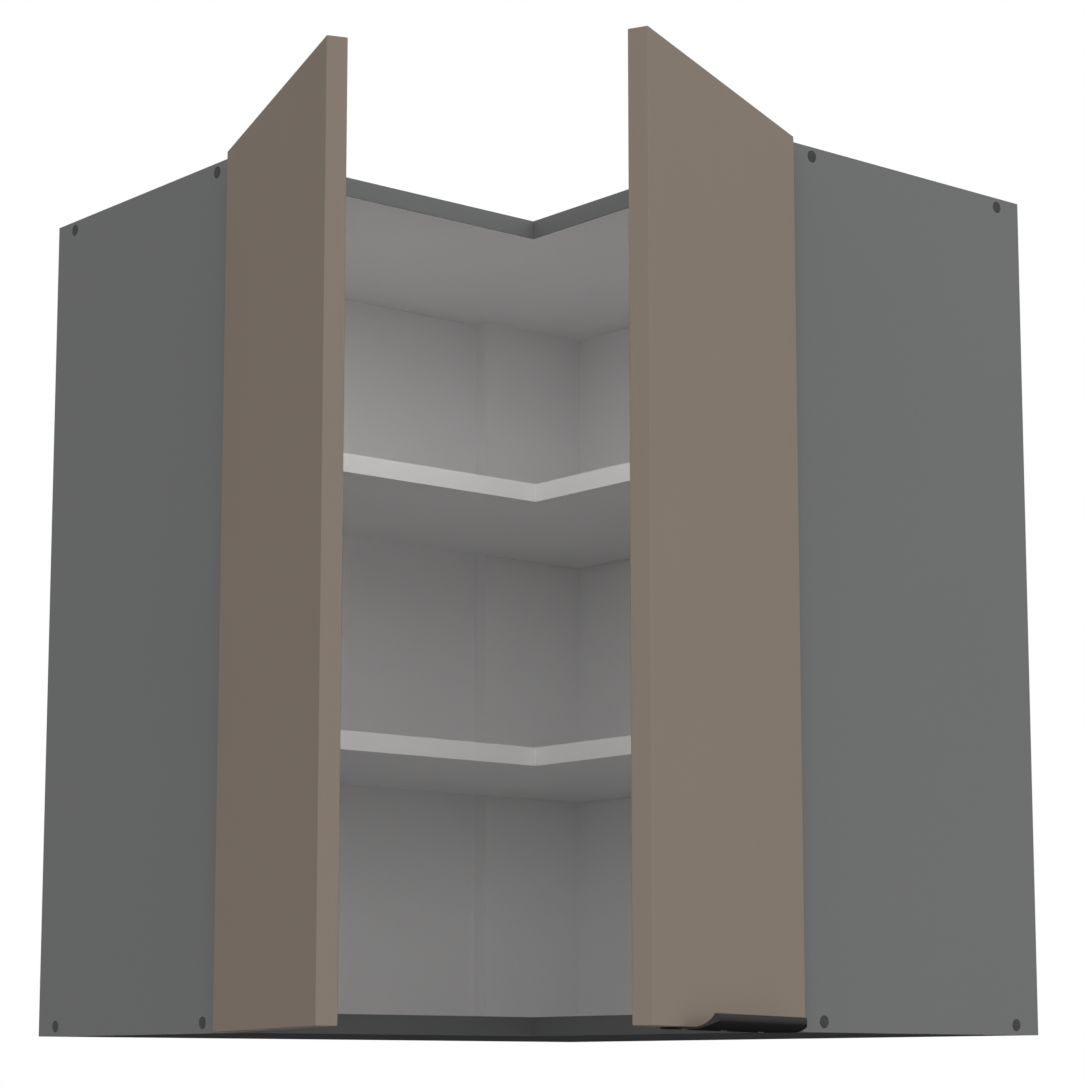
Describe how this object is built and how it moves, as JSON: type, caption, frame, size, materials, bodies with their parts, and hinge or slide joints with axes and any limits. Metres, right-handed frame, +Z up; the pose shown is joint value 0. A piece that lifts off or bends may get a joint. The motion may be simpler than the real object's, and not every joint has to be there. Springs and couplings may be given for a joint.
{
  "type": "corner wall cabinet",
  "caption": "L-shaped wall cabinet for an inside corner, with a hinged door at the end of each leg and L-shaped shelves inside.",
  "frame": {"origin": "corner of the room where the two walls meet, at the height of the carcass's underside", "axes": "+X along the back wall towards the right leg's end, -Y out from the back wall along the left wall, +Z up"},
  "size_m": [0.7296, 0.7143, 0.7175],
  "materials": {
    "carcass_board": "melamine-faced chipboard, graphite outside and white inside",
    "white_board": "white melamine-faced chipboard",
    "white_hardboard": "white lacquered hardboard",
    "graphite_edging": "graphite edge band",
    "white_edging": "white edge band",
    "door_board": "matt taupe laminate",
    "zinc_plated_steel": "zinc plated",
    "nickel_plated_steel": "nickel plated",
    "dark_caps": "dark grey moulded caps",
    "white_plastic": "white moulded plastic",
    "clear_pads": "clear soft pads",
    "black_profile": "black anodised"
  },
  "bodies": {
    "carcass": {"left_side_panel": "carcass_board", "right_side_panel": "carcass_board", "top_panel": "carcass_board", "bottom_panel": "carcass_board", "lower_shelf": "white_board", "upper_shelf": "white_board", "corner_stile": "white_board", "left_back_panel": "white_hardboard", "right_back_panel": "white_hardboard", "carcass_edge_bands": "graphite_edging", "lower_shelf_edge_band": "white_edging", "upper_shelf_edge_band": "white_edging", "connecting_screws": "zinc_plated_steel", "stile_screws": "zinc_plated_steel", "back_panel_screws": "zinc_plated_steel", "left_hanger_hook": "zinc_plated_steel", "right_hanger_hook": "zinc_plated_steel", "left_hanger_screws": "zinc_plated_steel", "right_hanger_screws": "zinc_plated_steel", "lower_shelf_pins": "zinc_plated_steel", "upper_shelf_pins": "zinc_plated_steel", "left_hinge_arms": "nickel_plated_steel", "left_hinge_plates": "nickel_plated_steel", "left_plate_screws": "nickel_plated_steel", "left_arm_screws": "nickel_plated_steel", "left_hinge_pins": "nickel_plated_steel", "right_hinge_arms": "nickel_plated_steel", "right_hinge_plates": "nickel_plated_steel", "right_plate_screws": "nickel_plated_steel", "right_arm_screws": "nickel_plated_steel", "right_hinge_pins": "nickel_plated_steel", "connecting_screw_caps": "dark_caps", "stile_screw_caps": "dark_caps", "left_hanger": "white_plastic", "right_hanger": "white_plastic", "left_hanger_cover": "white_plastic", "right_hanger_cover": "white_plastic"},
    "left_door": {"left_door_panel": "door_board", "left_hinge_cups": "nickel_plated_steel", "left_cup_screws": "nickel_plated_steel", "left_door_bumpers": "clear_pads"},
    "right_door": {"right_door_panel": "door_board", "right_hinge_cups": "nickel_plated_steel", "right_cup_screws": "nickel_plated_steel", "right_door_bumpers": "clear_pads", "edge_handle": "black_profile", "handle_screws": "zinc_plated_steel"}
  },
  "joints": [
    {"name": "left_door_hinge", "type": "hinge", "parent": "carcass", "child": "left_door", "pos_m": [0.2918, -0.598, 0.358], "axis": [0, 0, -1], "range_deg": [-110, 10]},
    {"name": "right_door_hinge", "type": "hinge", "parent": "carcass", "child": "right_door", "pos_m": [0.598, -0.2918, 0.358], "axis": [0, 0, 1], "range_deg": [-114, 6]}
  ]
}
